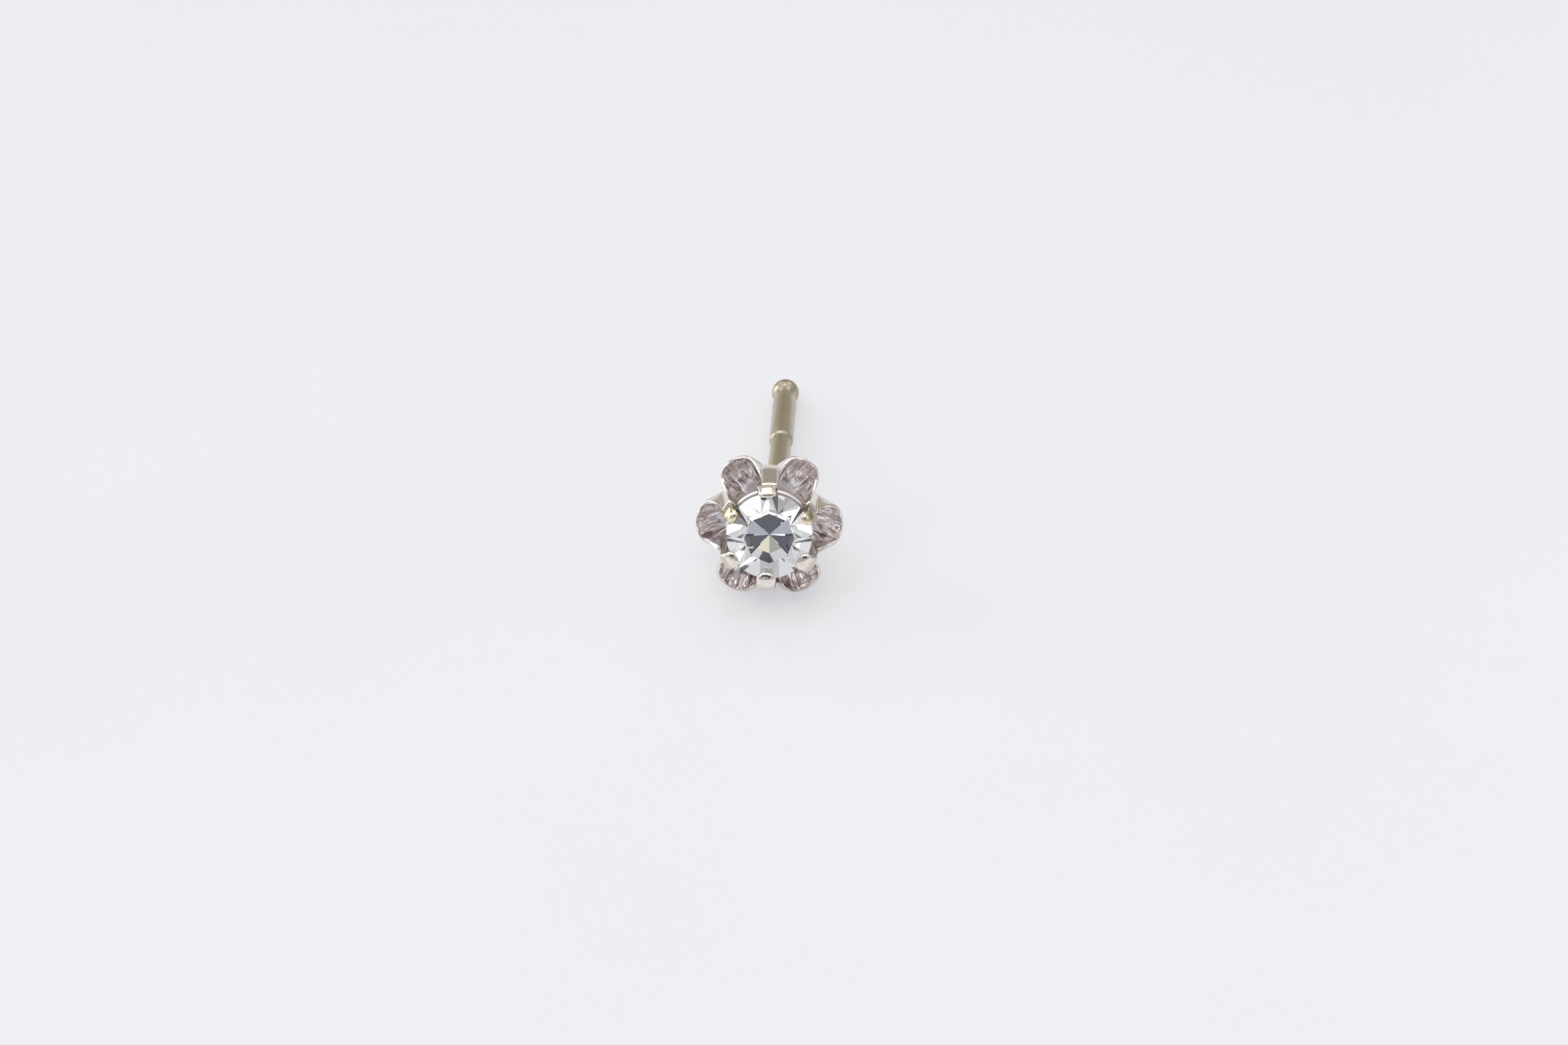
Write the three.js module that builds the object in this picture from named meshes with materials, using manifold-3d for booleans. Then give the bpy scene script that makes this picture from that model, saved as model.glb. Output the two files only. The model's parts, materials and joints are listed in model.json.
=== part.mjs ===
// A stud earring: a six-petal white gold head with six prongs, a round
// single-cut diamond and a plain post with a ball end, lying on its side.
// Units are millimetres, +Z is up and the stone looks towards -Y.
import * as THREE from 'three';
import * as BufferGeometryUtils from 'three/addons/utils/BufferGeometryUtils.js';
import Module from 'manifold-3d';

const wasm = await Module();
wasm.setup();

// The head's own frame: +Z is its front, +Y its top, z = 0 the stone's girdle.

// The diamond
const STONE_RADIUS = 1.5;
const GIRDLE_HALF_HEIGHT = 0.04;
const GIRDLE_SIDES = 48;
const FACETS_AROUND = 8;
const TABLE_RADIUS = 0.88;
const CROWN_ANGLE = THREE.MathUtils.degToRad(35);
const PAVILION_ANGLE = THREE.MathUtils.degToRad(44.5);
const STONE_TIP = THREE.MathUtils.degToRad(11);

// The petals, from the right-hand one round to the left
const PETALS = [
  { angle: -0.5, half: 24.5, reach: 2.6 },
  { angle: 60.5, half: 20.5, reach: 2.72 },
  { angle: 118.5, half: 20.5, reach: 2.74 },
  { angle: 177, half: 24.5, reach: 2.6 },
  { angle: 239, half: 22.5, reach: 2.78 },
  { angle: 299, half: 22.5, reach: 2.78 },
];
const LOBE_SHOULDER = 3;
const LOBE_ROUNDNESS = 0.6;
const LOBE_STEPS = 6;
const VALLEY_STEPS = 3;
const INNER_LOBE_SCALE = 0.92;

// The wall's outer face from the base to the rim, in a valley and on a petal
const REACH = 2.6;
const OUTER_WALL = [
  { valleyR: 0.95, valleyZ: -2.95, petalR: 0.95, petalZ: -2.95 },
  { valleyR: 1.44, valleyZ: -2.82, petalR: 1.48, petalZ: -2.8 },
  { valleyR: 1.78, valleyZ: -2.5, petalR: 1.86, petalZ: -2.5 },
  { valleyR: 1.87, valleyZ: -1.95, petalR: 2.15, petalZ: -2.14 },
  { valleyR: 1.87, valleyZ: -1.35, petalR: 2.38, petalZ: -1.8 },
  { valleyR: 1.87, valleyZ: -0.8, petalR: 2.53, petalZ: -1.52 },
  { valleyR: 1.87, valleyZ: -0.35, petalR: 2.6, petalZ: -1.32 },
];

// The wall's inner face from the rim back down to the floor of the cup
const INNER_WALL = [
  { valleyR: 1.6, valleyZ: -0.35, petalR: 2.51, petalZ: -1.27 },
  { valleyR: 1.58, valleyZ: -0.85, petalR: 2.33, petalZ: -1.46 },
  { valleyR: 1.52, valleyZ: -1.4, petalR: 2.04, petalZ: -1.75 },
  { valleyR: 1.36, valleyZ: -1.95, petalR: 1.62, petalZ: -2.06 },
  { valleyR: 0.95, valleyZ: -2.32, petalR: 1.02, petalZ: -2.32 },
];
const CUP_FLOOR_Z = -2.4;

// The seat, a ring behind the stone that joins the prongs
const SEAT = { innerR: 1.22, outerR: 1.53, frontZ: -0.57, backZ: -0.9 };
const SEAT_SIDES = 48;

// The prongs, from the upper right one round to the lower right
const PRONGS = [
  { angle: 29, width: 0.62, tip: 1.3 },
  { angle: 92.5, width: 0.66, tip: 1.4 },
  { angle: 147, width: 0.6, tip: 1.36 },
  { angle: 209, width: 0.68, tip: 1.29 },
  { angle: 265.5, width: 0.74, tip: 1.08 },
  { angle: 327, width: 0.72, tip: 1.2 },
];
const PRONG_OUTER_R = 1.9;
const PRONG_INNER_R = 1.56;
const PRONG_ROOT = { outerR: 1.8, innerR: 1.46, lowZ: -0.95, innerZ: -0.57, outerZ: -0.4 };
const PRONG_PLAN = { outerR: 1.93, corner: 0.24, low: -1.2, high: 1.2 };
const PRONG_CORNER_STEPS = 4;
const CLAW_START_Z = -0.06;
const CLAW_STEPS = 5;
const CLAW_THICKNESS = 0.2;
const CLAW_GAP = 0.04;

// The post, measured along its own axis from the back of the head
const POST_SIDES = 24;
const POST_OFF_CENTRE = 0.2;
const POST_BEND = THREE.MathUtils.degToRad(6);
const POST_LEAN = THREE.MathUtils.degToRad(2.2);
const POST_ROOT = -0.4;
const POST_PROFILE = [
  { along: 0.15, r: 0.56 },
  { along: 0.7, r: 0.44 },
  { along: 5.45, r: 0.365 },
  { along: 5.52, r: 0.43 },
  { along: 8.7, r: 0.43 },
  { along: 8.9, r: 0.39 },
  { along: 9.4, r: 0.4 },
];
const BALL_RADIUS = 0.5;
const BALL_CENTRE = 9.7;
const BALL_STEPS = 8;

const BACK_Z = OUTER_WALL[0].valleyZ;

// Corners closer than this are one corner
const MERGE_DISTANCE = 1e-5;

// The search for the resting tilt
const STEEPEST_TILT = Math.PI / 4;
const TILT_ROUNDS = 40;

// Turn a closed three.js geometry into a solid that can be joined and cut
function solidOf(geometry) {
  const bare = geometry.clone();
  bare.deleteAttribute('normal');
  bare.deleteAttribute('uv');
  const merged = BufferGeometryUtils.mergeVertices(bare, MERGE_DISTANCE);
  return new wasm.Manifold(
    new wasm.Mesh({
      numProp: 3,
      vertProperties: new Float32Array(merged.attributes.position.array),
      triVerts: new Uint32Array(merged.index.array),
    }),
  );
}

// Turn a solid back into a three.js geometry
function geometryOf(solid) {
  const mesh = solid.getMesh();
  const geometry = new THREE.BufferGeometry();
  geometry.setAttribute('position', new THREE.BufferAttribute(mesh.vertProperties, 3));
  geometry.setIndex(new THREE.BufferAttribute(mesh.triVerts, 1));
  geometry.computeVertexNormals();
  return geometry;
}

// An eight-sided cone frustum along Z, its corners on the eighths of a turn
function facetedCone(radiusTop, radiusBottom, zTop, zBottom) {
  const cone = new THREE.CylinderGeometry(radiusTop, radiusBottom, zTop - zBottom, FACETS_AROUND);
  cone.rotateX(Math.PI / 2);
  cone.translate(0, 0, (zTop + zBottom) / 2);
  return solidOf(cone);
}

// The single-cut diamond: a round girdle cut by eight crown and eight pavilion facets
function diamond() {
  const corner = Math.cos(Math.PI / FACETS_AROUND);
  const crownSlope = Math.tan(CROWN_ANGLE);
  const pavilionSlope = Math.tan(PAVILION_ANGLE);
  const tableZ = GIRDLE_HALF_HEIGHT + (STONE_RADIUS - TABLE_RADIUS * corner) * crownSlope;
  const culetZ = -GIRDLE_HALF_HEIGHT - STONE_RADIUS * pavilionSlope;
  const crownFoot = (STONE_RADIUS + (GIRDLE_HALF_HEIGHT - culetZ) / crownSlope) / corner;
  const pavilionTop = (STONE_RADIUS + (tableZ + GIRDLE_HALF_HEIGHT) / pavilionSlope) / corner;

  const blank = new THREE.CylinderGeometry(STONE_RADIUS, STONE_RADIUS, tableZ - culetZ, GIRDLE_SIDES);
  blank.rotateX(Math.PI / 2);
  blank.translate(0, 0, (tableZ + culetZ) / 2);
  const crown = facetedCone(TABLE_RADIUS, crownFoot, tableZ, culetZ);
  const pavilion = facetedCone(pavilionTop, 0, tableZ, culetZ);
  const geometry = geometryOf(solidOf(blank).intersect(crown).intersect(pavilion));
  geometry.rotateX(-STONE_TIP);
  return geometry;
}

// How far a petal stands out at an angle from its middle: 1 there, 0 in the valley
function lobe(offset, halfAngle) {
  const part = Math.min(1, Math.abs(offset) / halfAngle);
  return Math.pow(1 - Math.pow(part, LOBE_SHOULDER), LOBE_ROUNDNESS);
}

// The angles round the wall, closer together where a petal turns into its valley
function wallAngles() {
  const angles = [];
  PETALS.forEach((petal, index) => {
    for (let step = -LOBE_STEPS; step <= LOBE_STEPS; step += 1) {
      const offset = petal.half * Math.sin((step / LOBE_STEPS) * (Math.PI / 2));
      angles.push({ petal, offset, angle: petal.angle + offset });
    }
    const next = PETALS[(index + 1) % PETALS.length];
    const from = petal.angle + petal.half;
    const to = next.angle + (index + 1 === PETALS.length ? 360 : 0) - next.half;
    for (let step = 1; step <= VALLEY_STEPS; step += 1) {
      const angle = from + ((to - from) * step) / (VALLEY_STEPS + 1);
      angles.push({ petal, offset: petal.half, angle });
    }
  });
  return angles;
}

// The six-petal cup: a turned blank whose wall is waved out into the petals
function petalCup() {
  const levels = [...OUTER_WALL, ...INNER_WALL];
  const profile = [new THREE.Vector2(0, BACK_Z)];
  levels.forEach((level) => profile.push(new THREE.Vector2(level.valleyR, level.valleyZ)));
  profile.push(new THREE.Vector2(0, CUP_FLOOR_Z));

  const around = wallAngles();
  const blank = new THREE.LatheGeometry(profile, around.length);
  const position = blank.attributes.position;
  for (let turn = 0; turn <= around.length; turn += 1) {
    const { petal, offset, angle } = around[turn % around.length];
    for (let index = 0; index < profile.length; index += 1) {
      const level = levels[index - 1];
      const vertex = turn * profile.length + index;
      if (!level) {
        position.setXYZ(vertex, 0, 0, profile[index].y);
        continue;
      }
      const inner = index > OUTER_WALL.length;
      const turned = inner ? angle - offset * (1 - INNER_LOBE_SCALE) : angle;
      const out = lobe(offset, petal.half);
      const stretch = petal.reach / REACH;
      const r = level.valleyR + (level.petalR * stretch - level.valleyR) * out;
      const drop = 1 - (1 - out) * (1 - out);
      const z = level.valleyZ + (level.petalZ - level.valleyZ) * drop;
      const radians = THREE.MathUtils.degToRad(turned);
      position.setXYZ(vertex, r * Math.cos(radians), r * Math.sin(radians), z);
    }
  }
  return solidOf(blank);
}

// The height of the stone's crown at a radius, in the stone's own frame
function crownHeight(r) {
  return GIRDLE_HALF_HEIGHT + (STONE_RADIUS - r) * Math.tan(CROWN_ANGLE);
}

// A prong's outline from the side: up from its root, over in a round claw, back under it
function prongSide(tip) {
  const root = PRONG_ROOT;
  const tipTop = crownHeight(tip) + CLAW_GAP + CLAW_THICKNESS;
  const points = [
    { r: root.innerR, z: root.lowZ },
    { r: root.outerR, z: root.lowZ },
    { r: PRONG_OUTER_R - CLAW_GAP, z: root.outerZ },
  ];
  for (let step = 0; step <= CLAW_STEPS; step += 1) {
    const turn = (step / CLAW_STEPS) * (Math.PI / 2);
    points.push({
      r: PRONG_OUTER_R - (PRONG_OUTER_R - tip) * (1 - Math.cos(turn)),
      z: CLAW_START_Z + (tipTop - CLAW_START_Z) * Math.sin(turn),
    });
  }
  points.push({ r: tip, z: crownHeight(tip) + CLAW_GAP });
  points.push({ r: STONE_RADIUS, z: crownHeight(STONE_RADIUS) + 2 * CLAW_GAP });
  points.push({ r: PRONG_INNER_R, z: GIRDLE_HALF_HEIGHT });
  points.push({ r: PRONG_INNER_R, z: root.innerZ + CLAW_GAP });
  points.push({ r: root.innerR, z: root.innerZ });
  return points;
}

// A prong: its side outline, following the tipped stone, cut to a plan with round corners
function prong({ angle, width, tip }) {
  const radians = THREE.MathUtils.degToRad(angle);
  const side = new THREE.Shape(
    prongSide(tip).map(({ r, z }) => {
      const lift = z > PRONG_ROOT.innerZ ? -r * Math.sin(radians) * Math.tan(STONE_TIP) : 0;
      return new THREE.Vector2(r, z + lift);
    }),
  );
  const bar = new THREE.ExtrudeGeometry(side, { depth: width, bevelEnabled: false });
  bar.translate(0, 0, -width / 2);
  bar.rotateX(Math.PI / 2);

  const { outerR, corner, low, high } = PRONG_PLAN;
  const half = width / 2;
  const near = tip + corner;
  const far = outerR - corner;
  const outline = new THREE.Shape();
  outline.absarc(far, half - corner, corner, 0, Math.PI / 2, false);
  outline.absarc(near, half - corner, corner, Math.PI / 2, Math.PI, false);
  outline.absarc(near, corner - half, corner, Math.PI, Math.PI * 1.5, false);
  outline.absarc(far, corner - half, corner, Math.PI * 1.5, Math.PI * 2, false);
  const plan = new THREE.ExtrudeGeometry(outline, {
    depth: high - low,
    bevelEnabled: false,
    curveSegments: PRONG_CORNER_STEPS,
  });
  plan.translate(0, 0, low);
  bar.rotateZ(radians);
  plan.rotateZ(radians);
  return solidOf(bar).intersect(solidOf(plan));
}

// The seat: a plain ring, closed on itself
function seat() {
  const { innerR, outerR, frontZ, backZ } = SEAT;
  const profile = [
    new THREE.Vector2(innerR, backZ),
    new THREE.Vector2(outerR, backZ),
    new THREE.Vector2(outerR, frontZ),
    new THREE.Vector2(innerR, frontZ),
    new THREE.Vector2(innerR, backZ),
  ];
  const ring = new THREE.LatheGeometry(profile, SEAT_SIDES);
  ring.rotateX(Math.PI / 2);
  return solidOf(ring);
}

// The post: a tapered neck, a straight body, a shallow groove and a ball end
function post() {
  const profile = [new THREE.Vector2(0, POST_ROOT), new THREE.Vector2(POST_PROFILE[0].r, POST_ROOT)];
  POST_PROFILE.forEach(({ along, r }) => profile.push(new THREE.Vector2(r, along)));
  const neckSine = POST_PROFILE[POST_PROFILE.length - 1].r / BALL_RADIUS;
  const start = Math.asin(neckSine);
  for (let step = 1; step <= BALL_STEPS; step += 1) {
    const turn = Math.PI - start - ((Math.PI - start) * step) / BALL_STEPS;
    const r = step === BALL_STEPS ? 0 : BALL_RADIUS * Math.sin(turn);
    profile.push(new THREE.Vector2(r, BALL_CENTRE + BALL_RADIUS * Math.cos(turn)));
  }
  const turned = new THREE.LatheGeometry(profile, POST_SIDES);
  turned.rotateX(-Math.PI / 2);
  turned.rotateX(POST_BEND);
  turned.rotateY(-POST_LEAN);
  turned.translate(POST_OFF_CENTRE, 0, BACK_Z);
  return solidOf(turned);
}

function metal() {
  let solid = petalCup().add(seat());
  PRONGS.forEach((row) => {
    solid = solid.add(prong(row));
  });
  return geometryOf(solid.add(post()));
}

// The tilt at which the lower petals and the ball end both touch the surface
function restingTilt(geometry) {
  const position = geometry.attributes.position;
  const lowest = (tilt, behind) => {
    let low = Infinity;
    for (let index = 0; index < position.count; index += 1) {
      const z = position.getZ(index);
      const isBehind = z < BACK_Z - BALL_CENTRE / 2;
      if (isBehind === behind) {
        low = Math.min(low, z * Math.sin(tilt) + position.getY(index) * Math.cos(tilt));
      }
    }
    return low;
  };
  let flat = 0;
  let steep = STEEPEST_TILT;
  for (let round = 0; round < TILT_ROUNDS; round += 1) {
    const tilt = (flat + steep) / 2;
    if (lowest(tilt, true) > lowest(tilt, false)) {
      flat = tilt;
    } else {
      steep = tilt;
    }
  }
  return (flat + steep) / 2;
}

const whiteGold = new THREE.MeshStandardMaterial({ color: 0xc9c2b6, roughness: 0.18, metalness: 1 });
const clearStone = new THREE.MeshStandardMaterial({ color: 0xf2f5fa, roughness: 0.02, metalness: 0 });

const setting = new THREE.Mesh(metal(), whiteGold);
setting.name = 'setting_with_post';
const stone = new THREE.Mesh(diamond(), clearStone);
stone.name = 'diamond';

const stud = new THREE.Group();
stud.add(setting, stone);
stud.rotation.x = Math.PI / 2 - restingTilt(setting.geometry);

// Stand the earring on Z = 0 with the middle of its box over the origin
const part = new THREE.Group();
part.add(stud);
part.updateMatrixWorld(true);
const box = new THREE.Box3().setFromObject(part, true);
const middle = box.getCenter(new THREE.Vector3());
stud.position.set(-middle.x, -middle.y, -box.min.z);
part.updateMatrixWorld(true);

export default part;
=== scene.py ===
import json
import math

import bmesh
import bpy
from mathutils import Matrix, Vector


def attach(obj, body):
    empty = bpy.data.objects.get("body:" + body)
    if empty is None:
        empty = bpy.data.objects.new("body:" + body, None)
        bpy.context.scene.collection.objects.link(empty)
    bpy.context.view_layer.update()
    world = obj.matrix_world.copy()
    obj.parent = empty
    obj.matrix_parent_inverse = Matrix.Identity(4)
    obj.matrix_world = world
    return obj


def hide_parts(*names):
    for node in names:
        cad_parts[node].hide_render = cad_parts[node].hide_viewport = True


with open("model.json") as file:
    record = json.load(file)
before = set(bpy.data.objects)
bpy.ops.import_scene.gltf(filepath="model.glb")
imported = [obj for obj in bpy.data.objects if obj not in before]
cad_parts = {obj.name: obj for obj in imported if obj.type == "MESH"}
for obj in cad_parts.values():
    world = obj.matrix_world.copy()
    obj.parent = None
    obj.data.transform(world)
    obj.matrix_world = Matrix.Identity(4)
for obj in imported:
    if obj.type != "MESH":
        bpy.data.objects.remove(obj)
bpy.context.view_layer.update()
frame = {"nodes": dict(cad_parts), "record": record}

# The diamond stud earring as it lies: a white gold head of six fluted petals and six prongs,
# a round single-cut diamond and a ball-ended post. The head is modelled in millimetres in its
# own frame, where +Z is the front, +Y the top and z = 0 the stone's girdle.

MM = 0.001
NODE = "setting_with_post"

# The photograph
PHOTO_SIZE = (2352, 1568)
LENS = 160
SENSOR = 36
CAMERA_DISTANCE = 244.9 * MM
CAMERA_ABOVE_HEAD = math.radians(20)
GIRDLE_PIXEL = (1154, 804.5)
NEAREST_SEEN = 10 * MM

# The diamond
STONE_RADIUS = 1.5
GIRDLE_HALF_HEIGHT = 0.04
CROWN_SLOPE = math.tan(math.radians(35))
STONE_TIP = math.radians(11)

# The petals, anticlockwise from the right-hand one as the front is seen: each one's middle and half
# width in degrees, how far out it reaches, and how much it is stained and darkened with painted shade
PETALS = [
    {"angle": -0.5, "half": 24.5, "reach": 2.6, "stain_and_shade": 0.25},
    {"angle": 60.5, "half": 20.5, "reach": 2.72, "stain_and_shade": 0},
    {"angle": 118.5, "half": 20.5, "reach": 2.74, "stain_and_shade": 0.4},
    {"angle": 177, "half": 24.5, "reach": 2.6, "stain_and_shade": 0.3},
    {"angle": 239, "half": 22.5, "reach": 2.78, "stain_and_shade": 0.6},
    {"angle": 299, "half": 22.5, "reach": 2.78, "stain_and_shade": 1},
]
# The reach that the wall's two tables are drawn for
REACH = 2.6
LOBE_SHOULDER = 3
LOBE_ROUNDNESS = 0.6
INNER_LOBE_SCALE = 0.92
FLUTES = 5
FLUTE_COLUMNS = 12
VALLEY_COLUMNS = 8

# The wall's outer face from the base to the rim, in a valley and on a petal
OUTER_WALL = [
    {"valley_r": 0.95, "valley_z": -2.95, "petal_r": 0.95, "petal_z": -2.95},
    {"valley_r": 1.44, "valley_z": -2.82, "petal_r": 1.48, "petal_z": -2.8},
    {"valley_r": 1.78, "valley_z": -2.5, "petal_r": 1.86, "petal_z": -2.5},
    {"valley_r": 1.87, "valley_z": -1.95, "petal_r": 2.15, "petal_z": -2.14},
    {"valley_r": 1.87, "valley_z": -1.35, "petal_r": 2.38, "petal_z": -1.8},
    {"valley_r": 1.87, "valley_z": -0.8, "petal_r": 2.53, "petal_z": -1.52},
    {"valley_r": 1.87, "valley_z": -0.35, "petal_r": 2.6, "petal_z": -1.32},
]
# The wall's inner face from the rim back down to the floor of the cup
INNER_WALL = [
    {"valley_r": 1.6, "valley_z": -0.35, "petal_r": 2.51, "petal_z": -1.27},
    {"valley_r": 1.58, "valley_z": -0.85, "petal_r": 2.33, "petal_z": -1.46},
    {"valley_r": 1.52, "valley_z": -1.4, "petal_r": 2.04, "petal_z": -1.75},
    {"valley_r": 1.36, "valley_z": -1.95, "petal_r": 1.62, "petal_z": -2.06},
    {"valley_r": 0.95, "valley_z": -2.32, "petal_r": 1.02, "petal_z": -2.32},
]
# The flat back, the height of the mount on it, and the floor of the cup
BACK_Z = -2.95
MOUNT_Y = -0.74
CUP_FLOOR_Z = -2.4
OUTER_STEPS = 28
RIM_STEPS = 4
INNER_STEPS = 28
# How far the rounded rim rises above the two faces' ends
VALLEY_RIM_LIFT = 0.06
PETAL_RIM_LIFT = 0.03
# The flat grid that the wall is wrapped from, before it has any size of its own
GRID_HALF_WIDTH = 0.5
# Points this close together become one, and a point this close to the axis has no direction
MERGE_DISTANCE = 1e-5
POLE = 1e-6

# The flutes inside the petals, and the scallops that cross them; places along the inner face are
# counted in rows of INNER_WALL
FLUTE_DEPTH = 0.115
RIM_FLUTE_DEPTH = 0.06
FLUTE_DEEPENS = (0, 0.5)
FLUTE_SHALLOWS = (2.2, 3.6)
FLUTE_ENDS = (2.6, 3.8)
TURNS_SATIN = (3.4, 4)
SCALLOP_DEPTH = 0.016
SCALLOP_RATE = 4.2
SCALLOP_SHIFT = 2.4
# How fast the flutes and the bright cut grow from a valley to a petal's middle
FLUTE_GROWTH = 1.5
CUT_GROWTH = 2

# The prongs, anticlockwise from the upper right one: each one's width in the valley and at its claw,
# how far out the claw stands and how far in its tip reaches, how round the claw is (1 a ball, 0 as
# square as the stem), how yellow its claw is and how far its stem is darkened with painted shade
PRONGS = [
    {"angle": 27, "width": 0.56, "claw_width": 0.5, "out": 1.78, "tip": 1.32, "ball": 1, "yellow_and_shade": 1},
    {"angle": 92.5, "width": 0.72, "claw_width": 0.64, "out": 1.81, "tip": 1.42, "ball": 0.45, "yellow_and_shade": 0.5},
    {"angle": 149.5, "width": 0.56, "claw_width": 0.5, "out": 1.79, "tip": 1.36, "ball": 1, "yellow_and_shade": 1},
    {"angle": 209, "width": 0.68, "claw_width": 0.64, "out": 1.88, "tip": 1.29, "ball": 0.5, "yellow_and_shade": 0.25},
    {"angle": 265.5, "width": 0.74, "claw_width": 0.68, "out": 1.88, "tip": 1.12, "ball": 0.4, "yellow_and_shade": 0.1},
    {"angle": 327, "width": 0.72, "claw_width": 0.68, "out": 1.88, "tip": 1.22, "ball": 0.5, "yellow_and_shade": 0.2},
]
# The stem's faces below the claw: the outer one's distance inside the claw's, the inner one's radius
PRONG_STEM = [
    {"z": -0.95, "set_in": 0.02, "inner_r": 1.46},
    {"z": -0.5, "set_in": 0.01, "inner_r": 1.5},
]
CLAW_START_Z = -0.06
CLAW_INNER_R = 1.56
CLAW_THICKNESS = 0.2
CLAW_GAP = 0.04
CLAW_ROWS = 5
PRONG_SQUARE = 0.4
PRONG_AROUND = 32
PRONG_ALONG = 48
# Places along a prong, 0 at its root and 1 at its tip
ROOT_ROUNDS_BELOW = 0.06
NARROWS = (0.3, 0.5)
GROWS_ROUND = (0.4, 0.9)
TIP_ROUNDS_ABOVE = 0.72
TIP_FULLNESS = 2.2
# Where a claw's lighter colour, partly a painted highlight, starts and where it is full
BRIGHT_FROM = 0.56
BRIGHT_LATER_IF_WARM = 0.1
BRIGHT_BY = 0.76
# The heights between which a prong comes to follow the stone's tip
FOLLOWS_TIP = (-0.6, -0.2)

# The seat, a ring behind the stone
SEAT = {"inner_r": 1.22, "outer_r": 1.53, "front_z": -0.57, "back_z": -0.9}
SEAT_EDGE = 0.1
TURNED_STEPS = 96

# The post, measured along its own axis from the back of the head
POST_OFF_CENTRE = 0.2
POST_BEND = math.radians(6)
POST_LEAN = math.radians(2.2)
POST_PROFILE = [
    {"along": -0.4, "r": 0.56},
    {"along": 0.15, "r": 0.56},
    {"along": 0.7, "r": 0.44},
    {"along": 5.45, "r": 0.365},
    {"along": 5.52, "r": 0.43},
    {"along": 8.7, "r": 0.43},
    {"along": 8.9, "r": 0.39},
    {"along": 9.4, "r": 0.4},
]
POST_EDGE = 0.04
BALL_RADIUS = 0.5
BALL_CENTRE = 9.7
BALL_STEPS = 16
POST_STEPS = 64

# The surface and the lamps over it, in metres and watts
FLOOR_HALF_WIDTH = 2
SOFTBOXES = [
    {
        "name": "front_softbox",
        "place": (0, -0.16, 0.27),
        "size": 0.12,
        "power": 0.17,
        "colour": (1, 0.99, 0.98),
    },
    {
        "name": "left_lamp",
        "place": (-0.176, -0.148, 0.193),
        "size": 0.03,
        "power": 0.03,
        "colour": (1, 1, 1),
    },
    {
        "name": "top_softbox",
        "place": (-0.03, 0.06, 0.3),
        "size": 0.12,
        "power": 0.09,
        "colour": (0.98, 0.99, 1),
    },
]

# The room: its light low and overhead, and the round cards in it, in degrees
ROOM_SIDES = (0.45, 0.455, 0.475)
ROOM_TOP = (0.85, 0.85, 0.86)
ROOM_FADE = (0.2, 0.95)
CARD_SOFTNESS = 2
CARDS = [
    {"azimuth": 180, "elevation": 8, "radius": 24, "light": (0.39, 0.367, 0.33)},
    {"azimuth": 0, "elevation": 24, "radius": 17, "light": (0.062, 0.06, 0.068)},
    {"azimuth": 0, "elevation": 13, "radius": 6.5, "light": (0.48, 0.5, 0.58)},
    {"azimuth": 12, "elevation": 41, "radius": 7.5, "light": (0.98, 0.92, 0.7)},
    {"azimuth": -12, "elevation": 41, "radius": 7, "light": (0.42, 0.44, 0.37)},
    {"azimuth": -79, "elevation": 66, "radius": 9, "light": (3.5, 3.5, 3.5)},
    {"azimuth": 66, "elevation": 29, "radius": 6, "light": (2.6, 2.6, 2.7)},
    {"azimuth": 76, "elevation": 34, "radius": 4, "light": (0.3, 0.45, 1.6)},
    {"azimuth": 14, "elevation": 64, "radius": 7, "light": (2.2, 1.9, 1.0)},
    {"azimuth": -107, "elevation": 14, "radius": 21, "light": (2.8, 2.8, 2.8)},
    {"azimuth": -50, "elevation": 40, "radius": 11, "light": (3.0, 3.0, 3.0)},
    {"azimuth": 150, "elevation": 40, "radius": 9, "light": (2.2, 2.1, 2.0)},
    {"azimuth": -150, "elevation": 28, "radius": 8, "light": (2.2, 2.2, 2.2)},
]


def head_matrix():
    """Where the head's own frame stands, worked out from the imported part's mount on its back."""
    mount = frame["record"]["mounts"][0]
    front = -Vector(mount["axis"])
    right = Vector((1, 0, 0))
    top = front.cross(right)
    facing = Matrix((right, top, front)).transposed()
    girdle = Vector(mount["pos_m"]) - facing @ Vector((0, MOUNT_Y * MM, BACK_Z * MM))
    return Matrix.Translation(girdle) @ facing.to_4x4() @ Matrix.Scale(MM, 4)


HEAD = head_matrix()


# Shapes
def smooth_step(value, low, high):
    """0 below low, 1 above high, smooth between."""
    part = min(1, max(0, (value - low) / (high - low)))
    return part * part * (3 - 2 * part)


def along_curve(points, place):
    """A smooth curve's point at a place counted in points, through a list of equally long rows."""
    index = min(len(points) - 2, int(place))
    part = place - index
    first, second = points[index], points[index + 1]
    before = points[max(0, index - 1)]
    after = points[min(len(points) - 1, index + 2)]
    row = []
    for a, b, c, d in zip(before, first, second, after):
        bend = part * (c - a + part * (2 * a - 5 * b + 4 * c - d + part * (3 * (b - c) + d - a)))
        row.append(b + bend / 2)
    return row


def lobe(part):
    """How far a petal stands out at a part of its half width: 1 at its middle, 0 in the valley."""
    return (1 - min(1, abs(part)) ** LOBE_SHOULDER) ** LOBE_ROUNDNESS


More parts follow.
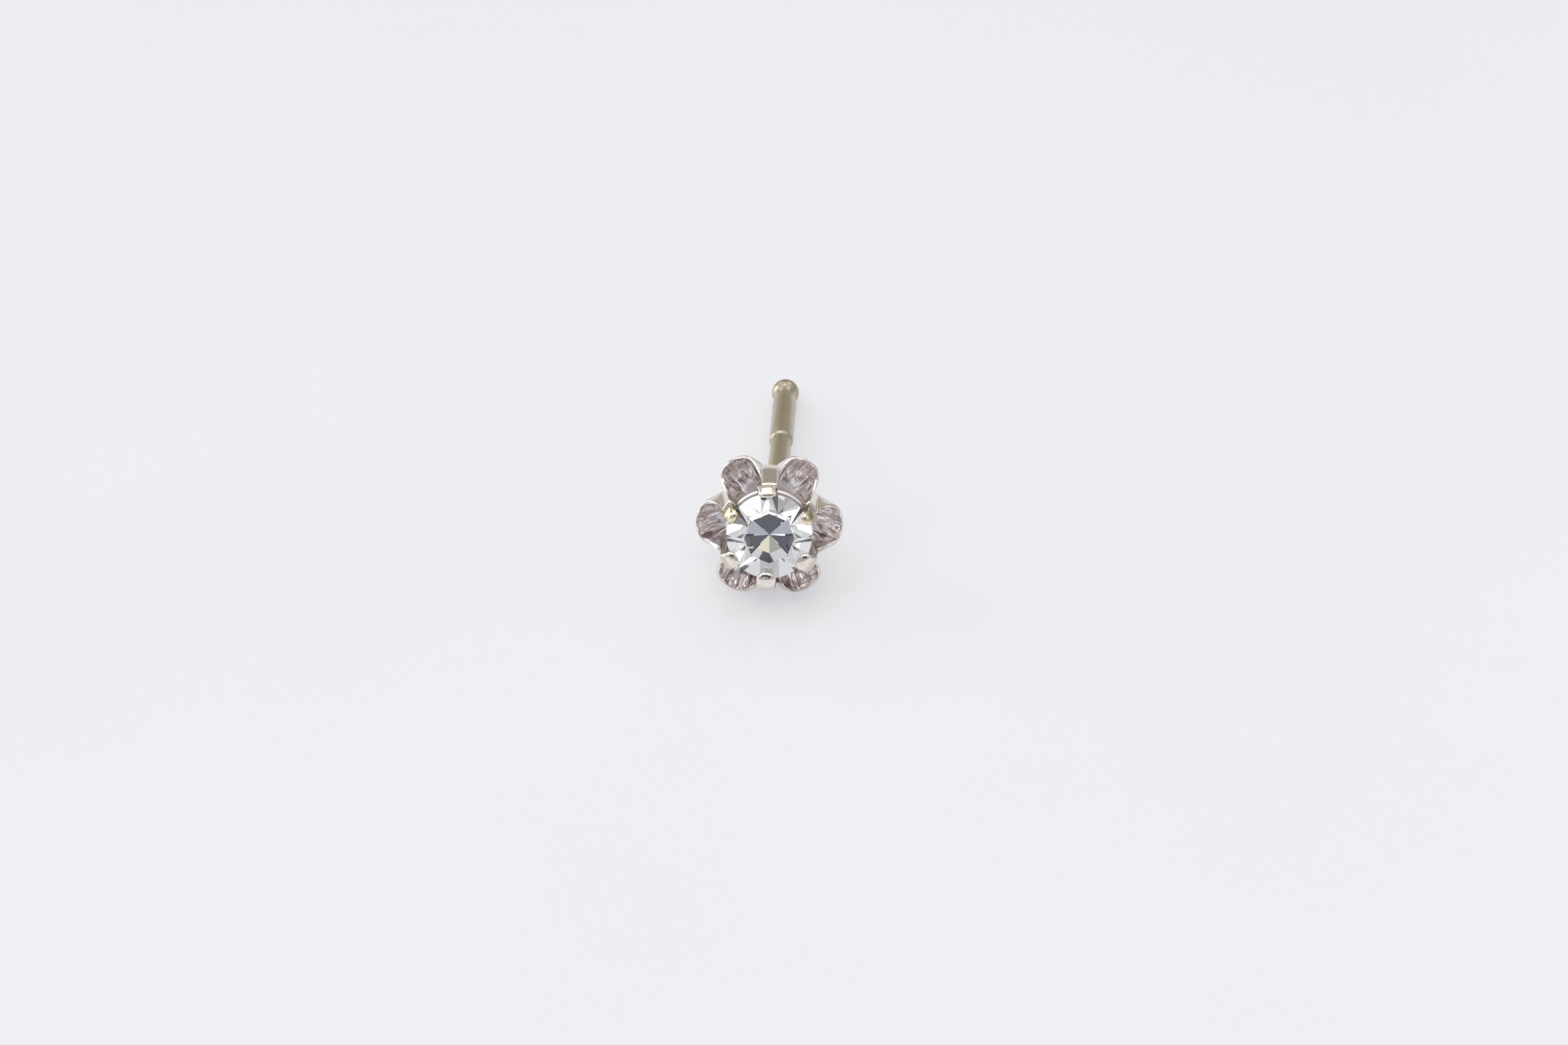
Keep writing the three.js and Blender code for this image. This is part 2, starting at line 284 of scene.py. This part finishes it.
def wall_columns():
    """The columns round the wall, closer together where a petal turns into its valley."""
    petal_columns = FLUTES * FLUTE_COLUMNS
    columns = []
    for index, petal in enumerate(PETALS):
        for step in range(petal_columns):
            turn = (step / petal_columns - 0.5) * math.pi
            flute = step / FLUTE_COLUMNS % 1
            shift = SCALLOP_SHIFT * (step // FLUTE_COLUMNS + index)
            part = math.sin(turn)
            columns.append(
                {
                    "petal": petal,
                    "part": part,
                    "flute": flute,
                    "shift": shift,
                    "fan": step / petal_columns,
                    "angle": petal["angle"] + petal["half"] * part,
                }
            )
        after = PETALS[(index + 1) % len(PETALS)]
        start = petal["angle"] + petal["half"]
        end = after["angle"] - after["half"] + (360 if after is PETALS[0] else 0)
        for step in range(VALLEY_COLUMNS):
            angle = start + (end - start) * step / VALLEY_COLUMNS
            columns.append({"petal": petal, "part": 1, "flute": 0, "shift": 0, "fan": 1, "angle": angle})
    return columns


def wall_rows():
    """The rows along the wall's section, each with its flutes' depth, its place and 1 if inside."""
    keys = ("valley_r", "valley_z", "petal_r", "petal_z")
    outer = [[level[key] for key in keys] for level in OUTER_WALL]
    inner = [[level[key] for key in keys] for level in INNER_WALL]
    rows = []
    for step in range(OUTER_STEPS + 1):
        rows.append((along_curve(outer, step / OUTER_STEPS * (len(outer) - 1)), 0, 0, 0))
    for step in range(1, RIM_STEPS + 1):
        turn = math.pi * step / (RIM_STEPS + 1)
        across = (1 - math.cos(turn)) / 2
        row = [a + (b - a) * across for a, b in zip(outer[-1], inner[0])]
        lift = math.sin(turn)
        row[1] += VALLEY_RIM_LIFT * lift
        row[3] += PETAL_RIM_LIFT * lift
        rows.append((row, across * RIM_FLUTE_DEPTH, 0, across))
    for step in range(INNER_STEPS + 1):
        place = step / INNER_STEPS * (len(inner) - 1)
        full = smooth_step(place, *FLUTE_DEEPENS) * (1 - smooth_step(place, *FLUTE_SHALLOWS))
        depth = RIM_FLUTE_DEPTH + (FLUTE_DEPTH - RIM_FLUTE_DEPTH) * full
        depth *= 1 - smooth_step(place, *FLUTE_ENDS)
        rows.append((along_curve(inner, place), depth, place, 1))
    return rows


def petal_cup():
    """The six-petal cup: a grid wrapped round the head, waved out into petals and fluted inside."""
    columns = wall_columns()
    rows = wall_rows()
    bm = bmesh.new()
    bmesh.ops.create_grid(bm, x_segments=len(columns), y_segments=len(rows) + 1, size=GRID_HALF_WIDTH)
    cut = bm.verts.layers.float.new("cut")
    deep = bm.verts.layers.float.new("deep")
    fan = bm.verts.layers.float.new("fan")
    stain_and_shade = bm.verts.layers.float.new("stain_and_shade")
    for vert in bm.verts:
        column = columns[round((vert.co.x + GRID_HALF_WIDTH) * len(columns)) % len(columns)]
        index = round((vert.co.y + GRID_HALF_WIDTH) * (len(rows) + 1)) - 1
        if index < 0 or index == len(rows):
            vert.co = (0, 0, BACK_Z if index < 0 else CUP_FLOOR_Z)
            continue
        (valley_r, valley_z, petal_r, petal_z), depth, place, inner = rows[index]
        petal, part = column["petal"], column["part"]
        out = lobe(part)
        groove = 1 - (2 * column["flute"] - 1) ** 2
        scallop = math.sin(SCALLOP_RATE * place + column["shift"]) * smooth_step(place, *FLUTE_DEEPENS)
        depth *= 1 + scallop * SCALLOP_DEPTH / FLUTE_DEPTH
        r = valley_r + (petal_r * petal["reach"] / REACH - valley_r) * out
        z = valley_z + (petal_z - valley_z) * (1 - (1 - out) ** 2)
        r += depth * groove * min(1, out * FLUTE_GROWTH)
        degrees = column["angle"]
        if abs(part) < 1:
            degrees -= petal["half"] * part * (1 - INNER_LOBE_SCALE) * inner
        angle = math.radians(degrees)
        vert.co = (r * math.cos(angle), r * math.sin(angle), z)
        vert[cut] = inner * min(1, out * CUT_GROWTH)
        vert[deep] = smooth_step(place, *TURNS_SATIN)
        vert[fan] = column["fan"]
        vert[stain_and_shade] = petal["stain_and_shade"]
    bmesh.ops.remove_doubles(bm, verts=bm.verts, dist=MERGE_DISTANCE)
    bmesh.ops.recalc_face_normals(bm, faces=bm.faces)
    return bm


def crown_height(r):
    """The height of the stone's crown at a radius, in the stone's own frame."""
    return GIRDLE_HALF_HEIGHT + (STONE_RADIUS - r) * CROWN_SLOPE


def prong_faces(claw_r, tip):
    """The (radius, height) lines of a prong's outer and inner face, from its root to its tip."""
    tip_top = crown_height(tip) + CLAW_GAP + CLAW_THICKNESS
    outer = [(claw_r - level["set_in"], level["z"]) for level in PRONG_STEM] + [(claw_r, CLAW_START_Z)]
    inner = [(level["inner_r"], level["z"]) for level in PRONG_STEM] + [(CLAW_INNER_R, CLAW_START_Z)]
    for step in range(1, CLAW_ROWS + 1):
        turn = step / CLAW_ROWS * math.pi / 2
        inward = 1 - math.cos(turn)
        z = CLAW_START_Z + (tip_top - CLAW_START_Z) * math.sin(turn)
        outer.append((claw_r - (claw_r - tip) * inward, z))
        r = CLAW_INNER_R + (tip - CLAW_INNER_R) * inward
        inner.append((r, crown_height(min(STONE_RADIUS, r)) + CLAW_GAP * (2 - step / CLAW_ROWS)))
    return outer, inner


def squared(value, power):
    """A sine or cosine pushed out towards 1 or -1, so that its round section gets squarer."""
    return math.copysign(abs(value) ** power, value)


def prong(row):
    """A prong: a ball drawn out along its height, flattened and bent over the stone as a claw."""
    outer, inner = prong_faces(row["out"], row["tip"])
    radians = math.radians(row["angle"])
    bm = bmesh.new()
    bmesh.ops.create_uvsphere(bm, u_segments=PRONG_AROUND, v_segments=PRONG_ALONG, radius=1)
    claw = bm.verts.layers.float.new("claw")
    yellow_and_shade_weight = bm.verts.layers.float.new("yellow_and_shade_weight")
    for vert in bm.verts:
        place = 0.5 + math.asin(max(-1, min(1, vert.co.z))) / math.pi
        around = math.atan2(vert.co.y, vert.co.x) if vert.co.xy.length > POLE else 0
        roundness = PRONG_SQUARE + (1 - PRONG_SQUARE) * row["ball"] * smooth_step(place, *GROWS_ROUND)
        across = squared(math.cos(around), roundness)
        through = squared(math.sin(around), roundness)
        past_tip = max(0, (place - TIP_ROUNDS_ABOVE) / (1 - TIP_ROUNDS_ABOVE))
        past_root = max(0, (ROOT_ROUNDS_BELOW - place) / ROOT_ROUNDS_BELOW)
        taper = math.sqrt(max(0, 1 - past_tip**TIP_FULLNESS)) * math.sqrt(max(0, 1 - past_root**2))
        spot = place * (len(outer) - 1)
        outer_r, outer_z = along_curve(outer, spot)
        inner_r, inner_z = along_curve(inner, spot)
        r = (outer_r + inner_r) / 2 + (outer_r - inner_r) / 2 * through * taper
        z = (outer_z + inner_z) / 2 + (outer_z - inner_z) / 2 * through * taper
        z -= r * math.sin(radians) * math.tan(STONE_TIP) * smooth_step(z, *FOLLOWS_TIP)
        width = row["width"] + (row["claw_width"] - row["width"]) * smooth_step(place, *NARROWS)
        turn = width / 2 * across * taper / r
        vert.co = (r * math.cos(turn), r * math.sin(turn), z)
        vert[claw] = smooth_step(place, BRIGHT_FROM + BRIGHT_LATER_IF_WARM * row["yellow_and_shade"], BRIGHT_BY)
        vert[yellow_and_shade_weight] = row["yellow_and_shade"]
    bmesh.ops.rotate(bm, verts=bm.verts, cent=(0, 0, 0), matrix=Matrix.Rotation(radians, 3, "Z"))
    bmesh.ops.recalc_face_normals(bm, faces=bm.faces)
    return bm


def turned(profile, steps):
    """A profile of (radius, height) points spun once round the Z axis, closed at its ends."""
    bm = bmesh.new()
    verts = [bm.verts.new((r, 0, z)) for r, z in profile]
    edges = [bm.edges.new(pair) for pair in zip(verts, verts[1:])]
    bmesh.ops.spin(
        bm, geom=verts + edges, cent=(0, 0, 0), axis=(0, 0, 1), angle=math.tau, steps=steps, use_merge=True
    )
    bmesh.ops.remove_doubles(bm, verts=bm.verts, dist=MERGE_DISTANCE)
    bmesh.ops.recalc_face_normals(bm, faces=bm.faces)
    return bm


def softened(points, edge, steps=4):
    """The same line of points with each inside corner rounded off."""
    line = [Vector(point) for point in points]
    soft = [line[0]]
    for before, corner, after in zip(line, line[1:], line[2:]):
        back = min(edge, (before - corner).length / 2)
        onward = min(edge, (after - corner).length / 2)
        start = corner + (before - corner).normalized() * back
        end = corner + (after - corner).normalized() * onward
        for step in range(steps + 1):
            part = step / steps
            soft.append(start.lerp(corner, part).lerp(corner.lerp(end, part), part))
    soft.append(line[-1])
    return [tuple(point) for point in soft]


def seat():
    """The seat: a plain ring with soft edges."""
    middle = (SEAT["inner_r"] + SEAT["outer_r"]) / 2
    corners = [
        (middle, SEAT["back_z"]),
        (SEAT["outer_r"], SEAT["back_z"]),
        (SEAT["outer_r"], SEAT["front_z"]),
        (SEAT["inner_r"], SEAT["front_z"]),
        (SEAT["inner_r"], SEAT["back_z"]),
        (middle, SEAT["back_z"]),
    ]
    return turned(softened(corners, SEAT_EDGE), TURNED_STEPS)


def post():
    """The post: a tapered neck, a straight body, a shallow groove and a ball end."""
    corners = [(row["r"], row["along"]) for row in POST_PROFILE]
    profile = [(0, corners[0][1])] + softened(corners, POST_EDGE)
    neck = math.asin(POST_PROFILE[-1]["r"] / BALL_RADIUS)
    for step in range(1, BALL_STEPS + 1):
        turn = (math.pi - neck) * (1 - step / BALL_STEPS)
        profile.append((max(0, BALL_RADIUS * math.sin(turn)), BALL_CENTRE + BALL_RADIUS * math.cos(turn)))
    bm = turned(profile, POST_STEPS)
    place = (
        Matrix.Translation((POST_OFF_CENTRE, 0, BACK_Z))
        @ Matrix.Rotation(-POST_LEAN, 4, "Y")
        @ Matrix.Rotation(POST_BEND, 4, "X")
        @ Matrix.Rotation(math.pi, 4, "X")
    )
    bmesh.ops.transform(bm, matrix=place, verts=bm.verts)
    return bm


# Materials
class Value:
    """A shader socket that takes part in Python arithmetic; each operation adds its Math node."""

    def __init__(self, shader, socket):
        self.shader = shader
        self.socket = socket

    def math(self, operation, *values):
        return self.shader.add("ShaderNodeMath", {"operation": operation}, dict(enumerate([self, *values])))

    def __add__(self, other):
        return self.math("ADD", other)

    def __mul__(self, other):
        return self.math("MULTIPLY", other)

    __radd__ = __add__
    __rmul__ = __mul__

    def step(self, low, high):
        """0 below low, 1 above high, smooth between."""
        return self.shader.add(
            "ShaderNodeMapRange",
            {"interpolation_type": "SMOOTHSTEP"},
            {"Value": self, "From Min": low, "From Max": high},
        )


class Shader:
    """A node tree being filled; add() makes one node and returns its first output or a named one."""

    def __init__(self, tree):
        self.tree = tree
        tree.nodes.clear()

    def add(self, kind, settings=None, inputs=None, output=0):
        node = self.tree.nodes.new(kind)
        for name, value in (settings or {}).items():
            setattr(node, name, value)
        for name, value in (inputs or {}).items():
            if isinstance(value, Value):
                self.tree.links.new(value.socket, node.inputs[name])
            else:
                node.inputs[name].default_value = value
        return Value(self, node.outputs[output]) if node.outputs else None

    def blend(self, mask, first, second):
        """Mixes two colours, each a tuple or a colour socket."""
        first, second = [(*c, 1) if isinstance(c, tuple) else c for c in (first, second)]
        return self.add("ShaderNodeMix", {"data_type": "RGBA"}, {0: mask, 6: first, 7: second}, output=2)

    def noise(self, scale, detail=2, stretch=(1, 1, 1), roughness=0.5):
        where = self.add("ShaderNodeTexCoord", output="Object")
        placed = self.add("ShaderNodeMapping", None, {"Vector": where, "Scale": stretch})
        return self.add(
            "ShaderNodeTexNoise",
            None,
            {"Vector": placed, "Scale": scale, "Detail": detail, "Roughness": roughness},
        )

    def attribute(self, name):
        """A value stored on the shape's points."""
        return self.add("ShaderNodeAttribute", {"attribute_name": name}, output="Fac")

    def bump(self, height, strength, distance):
        inputs = {"Height": height, "Strength": strength, "Distance": distance}
        return self.add("ShaderNodeBump", None, inputs)


def material(name, build):
    """A material whose surface is what build(shader) returns."""
    made = bpy.data.materials.new(name)
    made.use_nodes = True
    shader = Shader(made.node_tree)
    shader.add("ShaderNodeOutputMaterial", None, {"Surface": build(shader)})
    return made


# Colours and finishes; a noise's scale is given in waves a millimetre
PER_MM = 1000
KHAKI_GOLD = (0.76, 0.71, 0.64)
# Painted shade on the stems of the yellower prongs
OLIVE_PAINTED_SHADE = (0.44, 0.38, 0.27)
# The claws' colours: burnished metal, partly lightened as a painted highlight
CLAW_GOLD_AND_PAINTED_HIGHLIGHT = (0.9, 0.78, 0.55)
CLAW_WHITE_AND_PAINTED_HIGHLIGHT = (0.88, 0.825, 0.79)
# The two cut tones: grain on the seat, and inside the petals a painted sheen and a painted shade
CUT_LIGHT_GRAIN_AND_PAINTED_SHEEN = (1.0, 0.96, 0.965)
CUT_DARK_GRAIN_AND_PAINTED_SHADE = (0.88, 0.805, 0.8)
# Dark spots inside the petals: partly stains, partly painted shade
CUT_STAIN_AND_PAINTED_SHADE = (0.4, 0.34, 0.335)
POST_KHAKI = (0.545, 0.48, 0.36)
POST_SHADE = (0.465, 0.41, 0.305)
STONE_WHITE = (1, 1, 1)
STONE_TINT = (0.97, 0.975, 0.99)
SURFACE_TONES = ((0.322, 0.348, 0.346), (0.342, 0.368, 0.366))
SURFACE_GLOW = (0.445, 0.425, 0.455, 1)
DIAMOND_IOR = 2.42
SURFACE_IOR = 1.4
# The engraved lines in the petals, and where noise turns into patches of painted sheen and painted shade,
# lines, spots of stain and painted shade, and tone
LINE_RATE = 150
LINE_HEIGHT = 0.008
STAIN_AND_SHADE_SPREAD = 0.16
PAINTED_SHEEN_EDGES = (0.42, 0.58)
ENGRAVED_EDGES = (0.55, 0.65)
SPOT_EDGES = (0.64, 0.74)
POST_TONE_EDGES = (0.3, 0.7)


def polished_gold(shader):
    """The prongs: smooth and khaki like the valleys; the claws lighter, partly burnished and partly a
    painted highlight; some claws yellower, their stems darkened with painted shade.
    """
    claw = shader.attribute("claw")
    yellow_and_shade_weight = shader.attribute("yellow_and_shade_weight")
    # A yellower prong's stem is darkened towards olive as painted shade
    stem = shader.blend(yellow_and_shade_weight, KHAKI_GOLD, OLIVE_PAINTED_SHADE)
    # The claw's lighter colour is partly a painted highlight
    tip = shader.blend(yellow_and_shade_weight, CLAW_WHITE_AND_PAINTED_HIGHLIGHT, CLAW_GOLD_AND_PAINTED_HIGHLIGHT)
    wear = shader.noise(2.5 * PER_MM, detail=3)
    dents = shader.noise(4 * PER_MM, detail=2, roughness=0.4)
    return shader.add(
        "ShaderNodeBsdfPrincipled",
        None,
        {
            "Base Color": shader.blend(claw, stem, tip),
            "Metallic": 1,
            "Roughness": 0.07 + 0.1 * wear,
            "Normal": shader.bump(dents * claw, strength=0.5, distance=0.05 * MM),
        },
    )


def satin_gold(shader):
    """The seat: white gold left satin from the cutter, so that it passes light on to the stone."""
    grain = shader.noise(9 * PER_MM, detail=3, stretch=(1, 1, 4))
    return shader.add(
        "ShaderNodeBsdfPrincipled",
        None,
        {
            "Base Color": shader.blend(grain, CUT_DARK_GRAIN_AND_PAINTED_SHADE, CUT_LIGHT_GRAIN_AND_PAINTED_SHEEN),
            "Metallic": 1,
            "Roughness": 0.34 + 0.16 * grain,
            "Normal": shader.bump(grain, strength=0.3, distance=0.01 * MM),
        },
    )


def drawn_gold(shader):
    """The post: drawn wire with a faint grain."""
    tone = shader.noise(0.7 * PER_MM, detail=3)
    grain = shader.noise(5 * PER_MM, detail=3, stretch=(1, 6, 1))
    return shader.add(
        "ShaderNodeBsdfPrincipled",
        None,
        {
            "Base Color": shader.blend(tone.step(*POST_TONE_EDGES), POST_KHAKI, POST_SHADE),
            "Metallic": 1,
            "Roughness": 0.26 + 0.14 * tone,
            "Normal": shader.bump(grain, strength=0.2, distance=0.01 * MM),
        },
    )


def cut_gold(shader):
    """The cup: bright-cut inside the petals, polished outside and in the valleys; inside the petals,
    patches of painted sheen and painted shade stand in for reflections, and dark spots are partly stains
    and partly painted shade.
    """
    cut = shader.attribute("cut")
    fan = shader.attribute("fan")
    deep = shader.attribute("deep")
    stain_and_shade = shader.attribute("stain_and_shade")
    lines = (fan * LINE_RATE).math("SINE")
    dents = shader.noise(2 * PER_MM, detail=0, roughness=0.4)
    roughness_and_painted_sheen = shader.noise(2.2 * PER_MM, detail=2)
    engraved = shader.noise(0.9 * PER_MM, detail=0).step(*ENGRAVED_EDGES)
    height = cut * (dents + LINE_HEIGHT * lines * engraved)
    # Light and dark patches of base colour: painted sheen and painted shade standing in for reflections
    colour = shader.blend(roughness_and_painted_sheen.step(*PAINTED_SHEEN_EDGES), CUT_DARK_GRAIN_AND_PAINTED_SHADE, CUT_LIGHT_GRAIN_AND_PAINTED_SHEEN)
    # Dark spots, partly stains and partly painted shade; the amount set per petal darkens some petals more
    # than others
    spots = (shader.noise(1.8 * PER_MM, detail=1) + STAIN_AND_SHADE_SPREAD * stain_and_shade).step(*SPOT_EDGES)
    colour = shader.blend(spots, colour, CUT_STAIN_AND_PAINTED_SHADE)
    return shader.add(
        "ShaderNodeBsdfPrincipled",
        None,
        {
            "Base Color": shader.blend(cut, KHAKI_GOLD, colour),
            "Metallic": 1,
            "Roughness": 0.08 + 0.16 * roughness_and_painted_sheen + 0.4 * deep,
            "Normal": shader.bump(height, strength=0.55, distance=0.12 * MM),
        },
    )


def clear_diamond(shader):
    """Near-colourless diamond with the faintest uneven tint."""
    tint = shader.noise(1.5 * PER_MM, detail=2)
    return shader.add(
        "ShaderNodeBsdfPrincipled",
        None,
        {
            "Base Color": shader.blend(tint, STONE_WHITE, STONE_TINT),
            "Roughness": 0,
            "IOR": DIAMOND_IOR,
            "Transmission Weight": 1,
        },
    )


def glossy_floor(shader):
    """The pale surface, which glows a little as a light table does, so that shadows stay pale."""
    tone = shader.noise(0.05 * PER_MM, detail=2)
    return shader.add(
        "ShaderNodeBsdfPrincipled",
        None,
        {
            "Base Color": shader.blend(tone, *SURFACE_TONES),
            "Emission Color": SURFACE_GLOW,
            "Emission Strength": 1,
            "Roughness": 0.2,
            "IOR": SURFACE_IOR,
        },
    )


CUP_METAL = material("bright_cut_white_gold", cut_gold)
CLAW_METAL = material("polished_white_gold", polished_gold)
POST_METAL = material("drawn_white_gold", drawn_gold)
SEAT_METAL = material("satin_white_gold", satin_gold)
DIAMOND = material("clear_diamond", clear_diamond)
FLOOR = material("pale_glossy_surface", glossy_floor)


def metal_piece(name, bm, finish):
    """Places a shape made in the head's frame, attaches it to the root and hides the soldered metal's CAD
    part in its place.
    """
    bmesh.ops.transform(bm, matrix=HEAD, verts=bm.verts)
    mesh = bpy.data.meshes.new(name)
    bm.to_mesh(mesh)
    bm.free()
    mesh.shade_smooth()
    mesh.materials.append(finish)
    piece = bpy.data.objects.new(name, mesh)
    bpy.context.scene.collection.objects.link(piece)
    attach(piece, "root")
    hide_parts(NODE)


metal_piece("petal_cup", petal_cup(), CUP_METAL)
for number, row in enumerate(PRONGS, 1):
    metal_piece(f"prong_{number}", prong(row), CLAW_METAL)
metal_piece("seat_ring", seat(), SEAT_METAL)
metal_piece("post", post(), POST_METAL)

stone = frame["nodes"]["diamond"]
stone.data.materials.clear()
stone.data.materials.append(DIAMOND)


# Floor, light and camera
def floor():
    """The surface that the earring lies on."""
    bm = bmesh.new()
    bmesh.ops.create_grid(bm, x_segments=1, y_segments=1, size=FLOOR_HALF_WIDTH)
    mesh = bpy.data.meshes.new("floor")
    bm.to_mesh(mesh)
    bm.free()
    mesh.materials.append(FLOOR)
    ground = bpy.data.objects.new("floor", mesh)
    bpy.context.scene.collection.objects.link(ground)


def softbox(row):
    """A square area light aimed at the middle of the surface, under the earring."""
    lamp = bpy.data.lights.new(row["name"], "AREA")
    lamp.shape = "SQUARE"
    lamp.size = row["size"]
    lamp.energy = row["power"]
    lamp.color = row["colour"]
    box = bpy.data.objects.new(row["name"], lamp)
    box.location = row["place"]
    aim = Vector((0, 0, 0)) - Vector(row["place"])
    box.rotation_euler = aim.to_track_quat("-Z", "Y").to_euler()
    bpy.context.scene.collection.objects.link(box)


def direction(azimuth, elevation):
    """The way towards a place in the room: azimuth 0 is the camera's side, positive to the right."""
    azimuth, elevation = math.radians(azimuth), math.radians(elevation)
    flat = math.cos(elevation)
    return Vector((math.sin(azimuth) * flat, -math.cos(azimuth) * flat, math.sin(elevation)))


def surroundings():
    """A pale room, brighter overhead, with round cards near the camera that the stone mirrors."""
    world = bpy.data.worlds.new("room")
    bpy.context.scene.world = world
    world.use_nodes = True
    shader = Shader(world.node_tree)
    where = shader.add("ShaderNodeTexCoord", output="Generated")
    height = shader.add("ShaderNodeSeparateXYZ", None, {"Vector": where}, output="Z")
    colour = shader.blend(height.step(*ROOM_FADE), ROOM_SIDES, ROOM_TOP)
    for card in CARDS:
        towards = direction(card["azimuth"], card["elevation"])
        facing = shader.add(
            "ShaderNodeVectorMath", {"operation": "DOT_PRODUCT"}, {0: where, 1: towards}, output="Value"
        )
        edge = math.cos(math.radians(card["radius"] + CARD_SOFTNESS / 2))
        full = math.cos(math.radians(card["radius"] - CARD_SOFTNESS / 2))
        colour = shader.blend(facing.step(edge, full), colour, card["light"])
    light = shader.add("ShaderNodeBackground", None, {"Color": colour})
    shader.add("ShaderNodeOutputWorld", None, {"Surface": light})


def camera():
    """The camera at the photograph's angle, with the girdle's middle at its pixel."""
    elevation = math.asin(HEAD.col[2].xyz.normalized().z) + CAMERA_ABOVE_HEAD
    lens = bpy.data.cameras.new("camera")
    lens.lens = LENS
    lens.sensor_width = SENSOR
    lens.clip_start = NEAREST_SEEN
    seen = bpy.data.objects.new("camera", lens)
    per_pixel = SENSOR / LENS * CAMERA_DISTANCE / PHOTO_SIZE[0]
    right = Vector((1, 0, 0))
    back = Vector((0, -math.cos(elevation), math.sin(elevation)))
    up = back.cross(right)
    target = HEAD.translation
    middle = target - right * (GIRDLE_PIXEL[0] - PHOTO_SIZE[0] / 2) * per_pixel
    middle -= up * (PHOTO_SIZE[1] / 2 - GIRDLE_PIXEL[1]) * per_pixel
    seen.location = middle + back * CAMERA_DISTANCE
    seen.rotation_euler = (math.pi / 2 - elevation, 0, 0)
    bpy.context.scene.collection.objects.link(seen)
    bpy.context.scene.camera = seen


floor()
for row in SOFTBOXES:
    softbox(row)
surroundings()
camera()
bpy.context.scene.view_settings.view_transform = "Standard"
